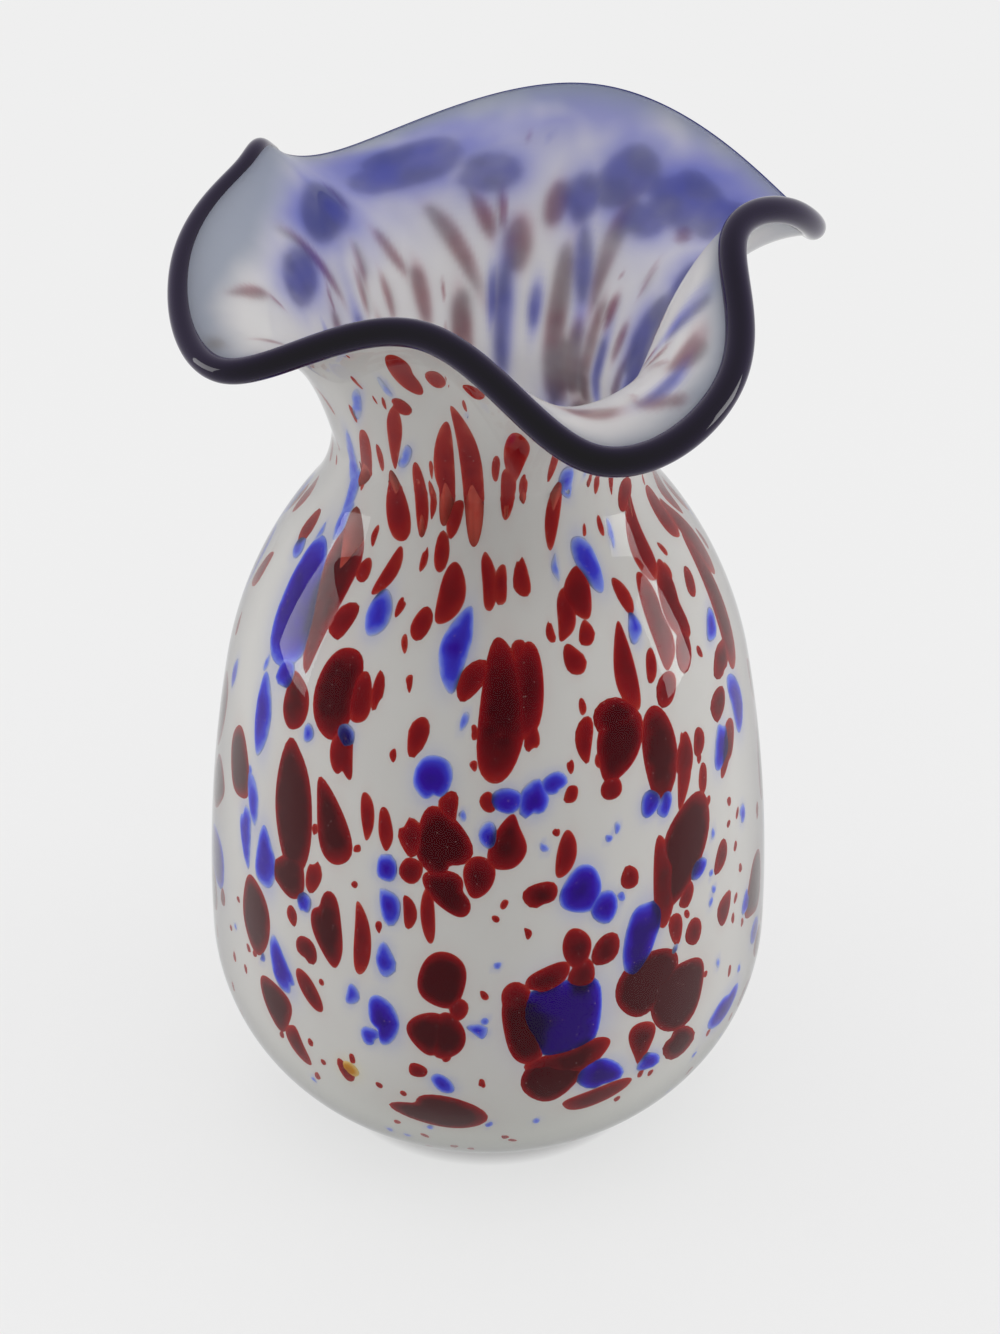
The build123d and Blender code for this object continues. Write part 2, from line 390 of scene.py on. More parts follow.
BLUE_FRONT = [
    (211, 172, 3, 14, -10), (212, 181, 3, 13, -15), (210, 148, 12, 29, 10), (216, 135, 6, 6, 40),
    (211, 166, 3, 10, -10), (197, 155, 4, 5, 20), (211, 123, 6, 17, 10), (238, 154, 5, 10, -5),
    (262, 151, 6, 15, -10), (304, 163, 5, 12, 10), (312, 149, 3, 7, -10), (339, 139, 4, 8, -50),
    (237, 129, 4, 6, 10), (227, 126, 3, 4, -15), (330, 114, 6, 10, -20), (258, 124, 7, 10, 0),
    (274, 120, 6, 6, 0), (284, 123, 5, 5, -5), (280, 120, 6, 8, -10), (270, 112, 4, 6, -5),
    (249, 101, 5, 6, 0), (250, 92, 5, 8, 0), (289, 97, 8, 12, -5), (294, 91, 6, 8, 10),
    (302, 80, 9, 17, -15), (318, 90, 5, 5, -15), (306, 112, 5, 6, -5), (310, 110, 4, 6, -10),
    (212, 101, 4, 12, 15), (210, 92, 5, 13, 10), (218, 90, 6, 16, 10), (224, 64, 6, 13, 25),
    (249, 78, 4, 9, 0), (242, 66, 3, 6, -10), (249, 61, 7, 11, 10), (246, 56, 4, 5, 5),
    (268, 62, 3, 5, 55), (285, 64, 18, 21, -10), (293, 45, 11, 8, -15), (304, 44, 6, 5, 5),
    (261, 46, 4, 6, 55), (230, 85, 4, 5, -5), (336, 68, 4, 6, -5), (327, 44, 7, 12, -70),
]

# Chips drawn out in the flare, by direction and share of the way from the neck to the lip
RED_FLARE = [
    (63, 0.05, 4, 30, 0), (53, 0.0, 4, 14, 0), (46, 0.02, 3, 18, 0), (41, 0.19, 2, 6, 0),
    (32, 0.12, 2, 6, 0), (80, 0.34, 5, 9, 0), (70, 0.48, 4, 9, 0), (121, 0.35, 2, 10, -20),
    (114, 0.18, 3, 10, 0), (154, 0.46, 2, 18, -15), (190, 0.68, 3, 11, -30), (91, 0.43, 3, 9, -20),
    (316, 0.77, 6, 11, -60), (301, 0.81, 4, 6, -35), (304, 0.88, 3, 4, -35), (290, 0.74, 5, 9, -75),
    (32, 0.55, 3, 3, 0), (60, -0.06, 5, 14, 0), (99, 0.32, 3, 18, -25), (50, 0.37, 3, 22, 0),
    (246, 0.55, 5, 14, 10), (255, 0.53, 4, 6, 0), (266, 0.52, 4, 5, 20), (242, 0.34, 4, 4, 35),
    (237, 0.19, 3, 13, -10), (221, 0.05, 3, 16, -20), (255, 0.09, 4, 20, -5), (264, 0.08, 4, 29, 5),
    (279, 0.2, 4, 13, 0), (277, 0.01, 3, 11, 0),
]
BLUE_FLARE = [
    (108, 0.7, 22, 12, 0), (90, 0.6, 12, 8, 0), (140, 0.6, 16, 12, 0), (54, 0.65, 9, 15, 0),
    (40, 0.68, 12, 14, 0), (29, 0.71, 10, 12, 0), (44, 0.52, 8, 7, 0), (63, 0.52, 6, 10, 0),
    (57, 0.3, 3, 14, -15), (84, 0.11, 3, 18, 0), (72, 0.14, 2, 6, 0), (39, 0.0, 2, 10, 0),
    (12, 0.50, 5, 12, -20), (17, 0.36, 8, 15, -10), (20, 0.20, 7, 14, 0), (14, 0.08, 7, 12, 0),
    (327, 0.73, 3, 14, -15), (306, 0.78, 3, 8, 90), (166, 0.47, 13, 10, 0), (227, 0.32, 2, 10, -20),
    (299, 0.03, 3, 8, 15), (240, 0.11, 2, 6, -30),
]

# Clouds of blue that have drifted into the opal below the lip
WASHES = [
    (112, 0.84, 52, 30, 0), (74, 0.94, 56, 22, 0), (36, 0.84, 34, 30, 0), (142, 0.55, 24, 26, 0),
]

# How far in from the lip the opal has thinned to clear grey, by direction, as a share of the flare
CLEAR_BAND = [
    (0, 0.10), (30, 0.06), (60, 0.08), (90, 0.10), (120, 0.08), (145, 0.20), (172, 0.34), (195, 0.20),
    (230, 0.08), (260, 0.08), (290, 0.08), (315, 0.14), (340, 0.12), (360, 0.10),
]

# One amber speck low on the body and one by the lip
AMBER_FRONT = [(241, 44, 4, 4, 0)]
AMBER_FLARE = [(210, 0.93, 4, 3, 0)]

# A chip spreads a little past its broken edge as it melts
SPREAD = 1.12

# The side that the placed chips cover, where only specks are scattered between them
FRONT = (math.radians(200), math.radians(335))
FRONT_TONE = 0.9
SPECK = 0.0009

# The scattered chips: how many there are, placed ones and all, how many tries are made for each, how low they
# start and how far up the flare they end, how small and how much larger they are, and how many of them are red
SCATTERED = 600
TRIES = 8
LOWEST = 0.020
HIGHEST = 0.75
SMALLEST = 0.0010
LARGER = 0.0066
RED_SHARE = 0.74

# The higher this power, the fewer of the scattered chips are large
FEW_LARGE = 1.4

# How long a scattered chip is for its width, how far it leans in radians, how much narrower and longer it is where
# the glass was drawn out, and how steeply that sets in towards the neck
LONG_FOR_WIDE = (0.9, 1.8)
LEAN = 0.3
NARROWER = 0.6
LONGER = 3.2
LONGER_VARIES = (0.6, 1.2)
DRAWN_POWER = 4
DRAWN_MOST = 1.1

# How much paler a chip is where the glass was drawn out
DRAWN_PALER = 0.35

# How close two chips may come, where 1 is just touching
CLEARANCE = 0.7

# A chip's outline: how few and how many sides it breaks with, how uneven they are in direction and in reach, and
# how sharp its corners are once melted
FEWEST_SIDES = 5
MOST_SIDES = 8
UNEVEN_TURN = 0.3
UNEVEN_REACH = (0.72, 1.05)
CORNER_POWER = 4

# How far a long thin chip may taper and bend, and the share of the bend that keeps it about its middle
TAPER = 0.45
BEND = 0.6
BEND_MIDDLE = 0.4

# How often a chip has a notch broken out of it, and the notch's depth and width
NOTCHED = 0.22
NOTCH_DEPTH = 0.35
NOTCH_WIDTH = 0.45

# Past this many bleeds nothing is left of a stain
FARTHEST = 50


def climb_of(rise):
    """How far up a skin a length measured up the wall reaches."""
    return np.where(rise < BODY_LENGTH, rise / BODY_LENGTH, 1 + (rise - BODY_LENGTH) / FLARE_LENGTH)


def radius_at(rise):
    """The girth's radius at a height measured up the wall, taken midway between folds on the flare."""
    climb = climb_of(rise)
    body = np.interp(climb, MIDDLE.along, MIDDLE.profile[:, 0])
    return body + np.maximum(climb - 1, 0) ** 2 * (np.mean(LIP_REACH) - NECK_RADIUS)


def rise_of(height):
    """The length measured up the wall to a height on the body or low on the flare."""
    if height > NECK_HEIGHT:
        return BODY_LENGTH + (height - NECK_HEIGHT) / (2 * FLARE_RISE) * FLARE_LENGTH
    return float(np.interp(height, MIDDLE.profile[:, 1], MIDDLE.along)) * BODY_LENGTH


def drawn_at(rise):
    """How much the glass was drawn out there as the neck was pulled: 0 low down and 1 at the neck."""
    return min(rise / BODY_LENGTH, DRAWN_MOST) ** DRAWN_POWER


def turned(angle):
    """An angle brought to within half a turn either way."""
    return (angle + math.pi) % TURN - math.pi


def sized(degrees, rise, width, length, lean):
    half = SPREAD * MM / 2
    return math.radians(degrees), rise, width * half, length * half, math.radians(lean)


def placed(front, flare=()):
    """Chips as direction, length up the wall, half width, half length and lean, from the rows above."""
    low = [sized(a, rise_of(z * MM), *shape) for a, z, *shape in front]
    return low + [sized(a, BODY_LENGTH + share * FLARE_LENGTH, *shape) for a, share, *shape in flare]


def is_free(chip, others):
    """Whether a chip keeps about clear of the others, each taken as an upright oval."""
    angle, rise, width, length, _ = np.array(others).T
    across = turned(angle - chip[0]) * radius_at(chip[1])
    gap = (across / (width + chip[2])) ** 2 + ((rise - chip[1]) / (length + chip[3])) ** 2
    return gap.min() > CLEARANCE


def scatter(rng, reds, blues):
    """More chips between the placed ones: broad low on the body, and drawn out into streaks up the neck."""
    for _ in range(SCATTERED * TRIES):
        rise = rng.uniform(LOWEST, BODY_LENGTH + FLARE_LENGTH * HIGHEST)
        drawn = drawn_at(rise)
        size = (SMALLEST + LARGER * rng.random() ** FEW_LARGE) * (1 - NARROWER * drawn)
        stretch = rng.uniform(*LONG_FOR_WIDE) + LONGER * drawn * rng.uniform(*LONGER_VARIES)
        angle = rng.uniform(0, TURN)
        if FRONT[0] < angle < FRONT[1]:
            size = min(size, SPECK)
        chip = (angle, rise, size, size * stretch, rng.normal(0, LEAN) * (1 - drawn))
        if len(reds) + len(blues) < SCATTERED and is_free(chip, reds + blues):
            (reds if rng.random() < RED_SHARE else blues).append(chip)


def chip_edge(rng, phi):
    """A broken chip's outline as a radius for each direction: a rough polygon with its corners melted round."""
    sides = rng.integers(FEWEST_SIDES, MOST_SIDES + 1)
    uneven = rng.uniform(-UNEVEN_TURN, UNEVEN_TURN, sides)
    faces = (np.arange(sides) + uneven) * TURN / sides + rng.uniform(0, TURN)
    pull = np.maximum(np.cos(phi[:, None] - faces), 0) / rng.uniform(*UNEVEN_REACH, sides)
    radius = (pull**CORNER_POWER).sum(1) ** (-1 / CORNER_POWER)
    if rng.random() < NOTCHED:
        notch = turned(phi - rng.uniform(0, TURN))
        radius *= 1 - NOTCH_DEPTH * np.exp(-((notch / NOTCH_WIDTH) ** 2))
    return radius / radius.mean()


def stain(chips, angle, rise, bleed):
    """How much the chips show through the opal at each point: full over a chip, fading out past its edge."""
    total = np.zeros(len(angle))
    for centre, middle, half_width, half_length, lean in chips:
        across = turned(angle - centre) * radius_at(middle)
        along = rise - middle
        c, s = math.cos(lean), math.sin(lean)
        far = np.hypot((across * c + along * s) / half_width, (along * c - across * s) / half_length)
        total = np.maximum(total, 1 / (1 + np.exp(np.minimum((far - 1) / bleed, FARTHEST))))
    return total


class Blank:
    """A round lens of glass to shape a chip from, flat below and domed above. Each of its points has a direction,
    a share of the radius, and 0 at the middle of the flat or 1 elsewhere. Its faces point outwards, and still do
    on a chip, which is set on the skin the same way round."""

    def __init__(self, points, shares):
        bm = bmesh.new()
        bmesh.ops.create_circle(bm, cap_ends=True, cap_tris=True, segments=points, radius=1.0)
        below, *ring = bm.verts
        edge = [vert.co.copy() for vert in ring]
        for share in shares[1:]:
            ring = draw_out(bm, ring, [(spot.x * share, spot.y * share, 1 - share) for spot in edge])
        top = bmesh.ops.edgeloop_fill(bm, edges=ring_edges(bm, ring))["faces"]
        bmesh.ops.poke(bm, faces=top)
        bmesh.ops.recalc_face_normals(bm, faces=bm.faces)
        self.mesh = bpy.data.meshes.new("blank")
        bm.to_mesh(self.mesh)
        spots = np.array([vert.co for vert in bm.verts])
        bm.free()
        self.share = np.hypot(spots[:, 0], spots[:, 1])
        self.phi = np.arctan2(spots[:, 1], spots[:, 0])
        self.edge = self.phi[1:points + 1]
        self.above = np.ones(len(spots))
        self.above[0] = 0


LONG_BLANK = Blank(*LONG_CHIP)
SHORT_BLANK = Blank(*SHORT_CHIP)


def chip_piece(name, chips, rng, edge, lift_share=1.0, below=()):
    """Flat lenses that follow the opal's skin. Each point keeps how deep the glass is there, its chip's tone, and
    whether it lies over one of the chips below."""
    bm = bmesh.new()
    spots, depth, tone, angles, rises = [], [], [], [], []
    for angle, rise, half_width, half_length, lean in chips:
        blank = SHORT_BLANK if half_length < SHORT else LONG_BLANK
        bm.from_mesh(blank.mesh)
        share, above = blank.share, blank.above
        radius = np.interp(blank.phi, blank.edge, chip_edge(rng, blank.edge), period=TURN)
        slim = max(0, 1 - half_width / half_length)
        taper = rng.uniform(-TAPER, TAPER) * slim
        bend = rng.uniform(-BEND, BEND) * slim
        x, y = np.cos(blank.phi) * radius, np.sin(blank.phi) * radius
        x = (x * (1 + taper * y) + bend * (y**2 - BEND_MIDDLE)) * half_width * share
        y = y * half_length * share
        across = x * math.cos(lean) - y * math.sin(lean)
        along = x * math.sin(lean) + y * math.cos(lean)
        thick = CHIP_DEPTH * min(1, half_width / BROAD) * lift_share * rng.uniform(LEAST_DEPTH, 1)
        lift = above * (thick * (1 - share**4) - CHIP_SINK * share) - (1 - above) * CHIP_SINK
        turn = angle + across / radius_at(rise)
        spots.append(MIDDLE.at(turn, climb_of(rise + along), lift))
        angles.append(turn)
        rises.append(rise + along)
        inward = above * (1 - share) * min(half_width, half_length)
        body = PALEST + (1 - PALEST) * min(1, half_width / DEEPEST)
        depth.append((1 - np.exp(-inward / edge)) * (1 - DRAWN_PALER * drawn_at(rise)) * body)
        fading = FRONT_TONE if FRONT[0] < angle < FRONT[1] else 1.0
        tone.append(np.full(len(share), rng.random() * fading))
    put(bm.verts, np.concatenate(spots))
    piece = finished(name, bm)
    keep(piece, "depth", np.concatenate(depth))
    keep(piece, "tone", np.concatenate(tone))
    keep(piece, "crossed", stain(below, np.concatenate(angles), np.concatenate(rises), CROSSED_BLEED))
    return piece


rng = np.random.default_rng(7)
REDS = placed(RED_FRONT, RED_FLARE)
BLUES = placed(BLUE_FRONT, BLUE_FLARE)
AMBERS = placed(AMBER_FRONT, AMBER_FLARE)
scatter(rng, REDS, BLUES)
red_chips = chip_piece("red_chip_glass", REDS, rng, RED_EDGE)
blue_chips = chip_piece("blue_chip_glass", BLUES, rng, BLUE_EDGE, BLUE_LIFT, REDS)
amber_chips = chip_piece("amber_chip_glass", AMBERS, rng, RED_EDGE)


def stain_lining():
    """The chips' colours bleed into the opal, blue drifts below the lip, and the opal thins out at the lip."""
    points = np.array([vert.co for vert in lining.data.vertices])
    angle = np.arctan2(points[:, 1], points[:, 0])
    climb = np.array([kept.value for kept in lining.data.attributes["climb"].data])
    rise = np.where(climb <= 1, climb * BODY_LENGTH, BODY_LENGTH + (climb - 1) * FLARE_LENGTH)
    keep(lining, "red", stain(REDS, angle, rise, RED_BLEED))
    keep(lining, "blue", stain(BLUES, angle, rise, BLUE_BLEED))
    keep(lining, "amber", stain(AMBERS, angle, rise, AMBER_BLEED))
    keep(lining, "wash", stain(placed([], WASHES), angle, rise, WASH_BLEED))
    turns, bands = np.array(CLEAR_BAND).T
    keep(lining, "clear", climb - 2 + np.interp(np.degrees(angle) % 360, turns, bands))


stain_lining()


# ---------------------------------------------------------------- lip trail

# How thick the thread is for each direction, as a share: full round the front, and drawn out to a skin at the back
TRAIL_GIRTHS = [
    (0.0, 1.0), (math.radians(20), 1.0), (math.radians(30), 0.22), (math.radians(124), 0.22),
    (math.radians(134), 1.0), (TURN, 1.0),
]
TRAIL_SKIN = 0.0001


def lip_trail():
    """The thread of glass melted on to the lip, thickest where it was started. Each point keeps how thick the
    thread is there."""
    half = (CASING_WALL + LINING_WALL) / 2
    angles = np.linspace(0, TURN, TRAIL_COLUMNS, endpoint=False)
    girth = np.interp(angles, *np.array(TRAIL_GIRTHS).T)
    radius = TRAIL_RADIUS * (1 + TRAIL_SWELL * np.cos(angles - TRAIL_START)) * girth
    out, rise = OUTER.flare_axes(angles, np.ones_like(angles))
    core = OUTER.flare(angles, np.ones_like(angles)) - out * half
    across = out * np.maximum(radius, half + TRAIL_SKIN)[:, None]
    upright = rise * radius[:, None]
    turns = np.linspace(0, TURN, TRAIL_ROWS, endpoint=False)
    rings = [core + across * math.cos(turn) + upright * math.sin(turn) for turn in turns]
    bm = bmesh.new()
    kept = bm.verts.layers.float.new("girth")
    bmesh.ops.create_circle(bm, segments=TRAIL_COLUMNS, radius=LIP_REACH.mean())
    first = list(bm.verts)
    put(first, rings[0])
    note(first, kept, girth)
    last = first
    for spots in rings[1:]:
        last = draw_out(bm, last, spots)
        note(last, kept, girth)
    bmesh.ops.bridge_loops(bm, edges=ring_edges(bm, first) + ring_edges(bm, last))
    bmesh.ops.recalc_face_normals(bm, faces=bm.faces)
    return finished("lip_trail_glass", bm)


trail = lip_trail()


# ---------------------------------------------------------------- materials

# The real size of each pattern, in millimetres: the waves of the blown wall, the clouds in the opal outside and
# inside, the drifts of blue below the lip, the torn edge of the clear band, the opal's patches over the chips, the
# mottling within a chip, and the spacing of the seed bubbles
WALL_WAVE = 62.5
OPAL_CLOUD = 45.5
INSIDE_CLOUD = 33.3
BLUE_DRIFT = 26.3
RAGGED_EDGE = 16.7
OPAL_PATCH = 14.3
CHIP_CLOUD = 3.33
SEED_SPACING = 1.923

# How deep the waves of the blown wall are, in metres
WAVE_DEPTH = 0.0006

# A seed bubble's radius as a share of the spacing. The real ones are finer, and at 0.35 mm across these just show
SEED = 0.09

# How strong reflections on the casing are, as a share of bare glass: little of the room shows in the outside
FAINT = 0.15


def paint(code):
    """A colour written as sRGB hex, turned linear."""
    parts = [int(code[i:i + 2], 16) / 255 for i in (1, 3, 5)]
    return (*[c / 12.92 if c <= 0.04045 else ((c + 0.055) / 1.055) ** 2.4 for c in parts], 1.0)


def per_metre(millimetres):
    """The scale of a pattern that repeats once in so many millimetres."""
    return 1000 / millimetres


def add(tree, kind, inputs=None, stops=(), **settings):
    """Adds a node with its settings and links. An input is named, or counted among those in use. It is a number,
    a colour or another node's output, and a node stands for its first output in use. Stops colour a ramp."""
    node = tree.nodes.new(kind)
    for key, value in settings.items():
        setattr(node, key, value)
    in_use = [socket for socket in node.inputs if socket.enabled]
    for key, value in (inputs or {}).items():
        socket = in_use[key] if isinstance(key, int) else node.inputs[key]
        if isinstance(value, bpy.types.Node):
            value = next(output for output in value.outputs if output.enabled)
        if isinstance(value, bpy.types.NodeSocket):
            tree.links.new(value, socket)
        else:
            socket.default_value = value
    for spot, _ in stops[2:]:
        node.color_ramp.elements.new(spot)
    for place, (spot, colour) in enumerate(stops):
        node.color_ramp.elements[place].position = spot
        node.color_ramp.elements[place].color = paint(colour)
    return node


def material(name):
    made = bpy.data.materials.new(name)
    made.use_nodes = True
    made.node_tree.nodes.clear()
    return made, made.node_tree


def stained(tree, colour, patchy, stains):
    """Lays stains over a colour. Each is kept on the points, and has its own power, strength and colour."""
    for name, power, strength, tone in stains:
        kept = add(tree, "ShaderNodeAttribute", attribute_name=name).outputs["Fac"]
        broken = add(tree, "ShaderNodeMath", {0: kept, 1: patchy}, operation="MULTIPLY")
        drawn = add(tree, "ShaderNodeMath", {0: broken, 1: power}, operation="POWER")
        share = add(tree, "ShaderNodeMath", {0: drawn, 1: strength}, operation="MULTIPLY")
        colour = add(tree, "ShaderNodeMix", {0: share, 1: colour, 2: paint(tone)}, data_type="RGBA")
    return colour


def thinned(tree, place, colour):
    """Towards the lip the opal thins out: blue drifts into it in clouds, and the last of it is grey and clear."""
    drift = add(tree, "ShaderNodeTexNoise", {"Vector": place, "Scale": per_metre(BLUE_DRIFT)})
    clouds = add(tree, "ShaderNodeMapRange", {"Value": drift, "From Min": 0.34, "From Max": 0.58},
                 interpolation_type="SMOOTHSTEP")
    blue = stained(tree, colour, clouds, [("wash", 1.0, 0.8, "#6068C8")])
    band = add(tree, "ShaderNodeAttribute", attribute_name="clear").outputs["Fac"]
    torn = add(tree, "ShaderNodeTexNoise", {"Vector": place, "Scale": per_metre(RAGGED_EDGE)})
    ragged = add(tree, "ShaderNodeMath", {0: torn, 1: 0.12, 2: band}, operation="MULTIPLY_ADD")
    bare = add(tree, "ShaderNodeMapRange", {
        "Value": ragged, "From Min": -0.04, "From Max": 0.16, "To Max": 0.85}, interpolation_type="SMOOTHSTEP")
    return add(tree, "ShaderNodeMix", {0: bare, 1: blue, 2: paint("#9AA2B4")}, data_type="RGBA")


def clear_cased_glass():
    """Clear soda glass, gathered over the colours and fire polished. It gives depth over the chips, a painted
    shade along its edges where the eye looks along the glass, and faint reflections that waver as a blown wall
    does."""
    made, tree = material("clear blown soda glass, cased")
    place = add(tree, "ShaderNodeTexCoord").outputs["Object"]
    sag = add(tree, "ShaderNodeTexNoise", {"Vector": place, "Scale": per_metre(WALL_WAVE), "Detail": 1.0})
    wave = add(tree, "ShaderNodeBump", {"Height": sag, "Strength": 1.0, "Distance": WAVE_DEPTH})
    # Painted shade: the glass is coloured darker towards its edges, where the eye looks along it
    painted_edge_facing = add(tree, "ShaderNodeLayerWeight", {"Blend": 0.5}).outputs["Facing"]
    along = add(tree, "ShaderNodeMapRange", {"Value": painted_edge_facing, "From Min": 0.58, "From Max": 0.95},
                interpolation_type="SMOOTHSTEP")
    tint_and_edge_shade = add(tree, "ShaderNodeMix", {0: along, 1: paint("#FAFCFA"), 2: paint("#3A363E")}, data_type="RGBA")
    glass = add(tree, "ShaderNodeBsdfPrincipled", {
        "Base Color": tint_and_edge_shade, "Roughness": 0.0, "IOR": 1.5, "Transmission Weight": 1.0,
        "Specular Tint": (FAINT, FAINT, FAINT, 1.0), "Normal": wave})
    through = add(tree, "ShaderNodeBsdfTransparent", {"Color": paint("#FBFCFB")})
    path = add(tree, "ShaderNodeLightPath").outputs
    soft = add(tree, "ShaderNodeMath", {0: path["Is Shadow Ray"], 1: path["Is Diffuse Ray"]}, operation="MAXIMUM")
    both = add(tree, "ShaderNodeMixShader", {0: soft, 1: glass, 2: through})
    add(tree, "ShaderNodeOutputMaterial", {"Surface": both})
    return made


def opal_outside():
    """White opal glass, blown, under the casing. It gives the milky ground, a little uneven, greener and duller
    low down where it is thick, with the colours of the chips bleeding into it."""
    made, tree = material("white opal glass, blown, under the casing")
    place = add(tree, "ShaderNodeTexCoord").outputs["Object"]
    cloud = add(tree, "ShaderNodeTexNoise", {"Vector": place, "Scale": per_metre(OPAL_CLOUD)})
    white = add(tree, "ShaderNodeMix", {0: cloud, 1: paint("#C6C2C0"), 2: paint("#D2CFCD")}, data_type="RGBA")
    climb = add(tree, "ShaderNodeAttribute", attribute_name="climb").outputs["Fac"]
    heel = add(tree, "ShaderNodeMapRange", {"Value": climb, "From Min": 0.35, "From Max": 0.0},
               interpolation_type="SMOOTHSTEP")
    low = add(tree, "ShaderNodeMix", {0: heel, 1: white, 2: paint("#BEC0B8")}, data_type="RGBA")
    bled = stained(tree, low, 1.0, [
        ("red", 1.0, 0.2, "#B98A86"), ("blue", 1.0, 0.5, "#7C86D0"), ("amber", 1.0, 0.6, "#D8C68A")])
    shell = add(tree, "ShaderNodeBsdfPrincipled", {
        "Base Color": thinned(tree, place, bled), "Roughness": 0.5, "Specular IOR Level": 0.0})
    let_by = add(tree, "ShaderNodeBsdfTransparent")
    back = add(tree, "ShaderNodeNewGeometry").outputs["Backfacing"]
    lit = add(tree, "ShaderNodeLightPath").outputs["Is Diffuse Ray"]
    glow = add(tree, "ShaderNodeMath", {0: back, 1: lit}, operation="MULTIPLY")
    both = add(tree, "ShaderNodeMixShader", {0: glow, 1: shell, 2: let_by})
    add(tree, "ShaderNodeOutputMaterial", {"Surface": both})
    return made


def opal_inside():
    """White opal glass, blown, fire polished inside. It glows a little with the light behind it, and the chips
    show through it dim and out of focus. Its white is painted lighter than the same opal's outside: painted light."""
    made, tree = material("white opal glass, blown, fire polished inside")
    place = add(tree, "ShaderNodeTexCoord").outputs["Object"]
    cloud = add(tree, "ShaderNodeTexNoise", {"Vector": place, "Scale": per_metre(INSIDE_CLOUD)})
    # Painted light: a lighter white than the outside's, though it is the same opal
    white = add(tree, "ShaderNodeMix", {0: cloud, 1: paint("#DCD8DA"), 2: paint("#E8E6E6")}, data_type="RGBA")
    uneven = add(tree, "ShaderNodeTexNoise", {"Vector": place, "Scale": per_metre(OPAL_PATCH)})
    patchy = add(tree, "ShaderNodeMapRange", {"Value": uneven, "From Min": 0.1, "From Max": 0.8},
                 interpolation_type="SMOOTHSTEP")
    bled = stained(tree, white, patchy, [("red", 1.0, 0.85, "#B0747E"), ("blue", 0.4, 0.85, "#5C64D2")])
    amber = stained(tree, bled, 1.0, [("amber", 1.0, 0.9, "#B98A2E")])
    colour = thinned(tree, place, amber)
    shell = add(tree, "ShaderNodeBsdfPrincipled", {
        "Base Color": colour, "Roughness": 0.03, "IOR": 1.5, "Specular IOR Level": 0.3})
    glow = add(tree, "ShaderNodeBsdfTranslucent", {"Color": colour})
    both = add(tree, "ShaderNodeMixShader", {0: 0.6, 1: shell, 2: glow})
    add(tree, "ShaderNodeOutputMaterial", {"Surface": both})
    return made


def chip_glass(name, stops, faint):
    """Transparent coloured glass, broken small and melted in: bright at a chip's thin edge, dark in its deep
    middle, near black where it lies over another colour, and with a few tiny seed bubbles."""
    made, tree = material(name)
    place = add(tree, "ShaderNodeTexCoord").outputs["Object"]
    depth = add(tree, "ShaderNodeAttribute", attribute_name="depth").outputs["Fac"]
    mottle = add(tree, "ShaderNodeTexNoise", {"Vector": place, "Scale": per_metre(CHIP_CLOUD)})
    cloud = add(tree, "ShaderNodeMapRange", {"Value": mottle, "To Min": -0.175, "To Max": 0.175}, clamp=False)
    deep = add(tree, "ShaderNodeMath", {0: depth, 1: cloud}, operation="ADD")
    colour = add(tree, "ShaderNodeValToRGB", {"Fac": deep}, stops)
    tone = add(tree, "ShaderNodeAttribute", attribute_name="tone").outputs["Fac"]
    thin = add(tree, "ShaderNodeMapRange", {"Value": tone, "From Min": 0.93, "From Max": 1.0, "To Max": 0.4},
               interpolation_type="SMOOTHSTEP")
    faded = add(tree, "ShaderNodeMix", {0: thin, 1: colour, 2: paint(faint)}, data_type="RGBA")
    crossed = stained(tree, faded, 1.0, [("crossed", 1.0, 0.85, "#150612")])
    cells = add(tree, "ShaderNodeTexVoronoi", {"Vector": place, "Scale": per_metre(SEED_SPACING)})
    seeds = add(tree, "ShaderNodeMath", {0: cells, 1: SEED}, operation="LESS_THAN")
    share = add(tree, "ShaderNodeMath", {0: seeds, 1: 0.35}, operation="MULTIPLY")
    seeded = add(tree, "ShaderNodeMix", {0: share, 1: crossed, 2: paint("#B08A8A")}, data_type="RGBA")
    shell = add(tree, "ShaderNodeBsdfPrincipled", {
        "Base Color": seeded, "Roughness": 0.4, "Specular IOR Level": 0.0})
    add(tree, "ShaderNodeOutputMaterial", {"Surface": shell})
    return made


def aubergine_glass():
    """Dark aubergine glass, trailed hot on the lip: near black, with painted purple light along its edges where
    the eye grazes it, blue where it is drawn out thin, with wet highlights."""
    made, tree = material("aubergine glass, hot trailed")
    # Painted light: the thread is coloured purple towards its edges, as if light shone through it there
    painted_edge_facing = add(tree, "ShaderNodeLayerWeight", {"Blend": 0.3}).outputs["Facing"]
    thick = add(tree, "ShaderNodeMix", {0: painted_edge_facing, 1: paint("#060309"), 2: paint("#2E1850")}, data_type="RGBA")
    girth = add(tree, "ShaderNodeAttribute", attribute_name="girth").outputs["Fac"]
    thin = add(tree, "ShaderNodeMapRange", {"Value": girth, "From Min": 0.9, "From Max": 0.3},
               interpolation_type="SMOOTHSTEP")
    colour = add(tree, "ShaderNodeMix", {0: thin, 1: thick, 2: paint("#2C3072")}, data_type="RGBA")
    shell = add(tree, "ShaderNodeBsdfPrincipled", {
        "Base Color": colour, "Roughness": 0.04, "IOR": 1.5, "Specular IOR Level": 0.2})
    add(tree, "ShaderNodeOutputMaterial", {"Surface": shell})
    return made


def wear(piece, *materials):
    for made in materials:
        piece.data.materials.append(made)


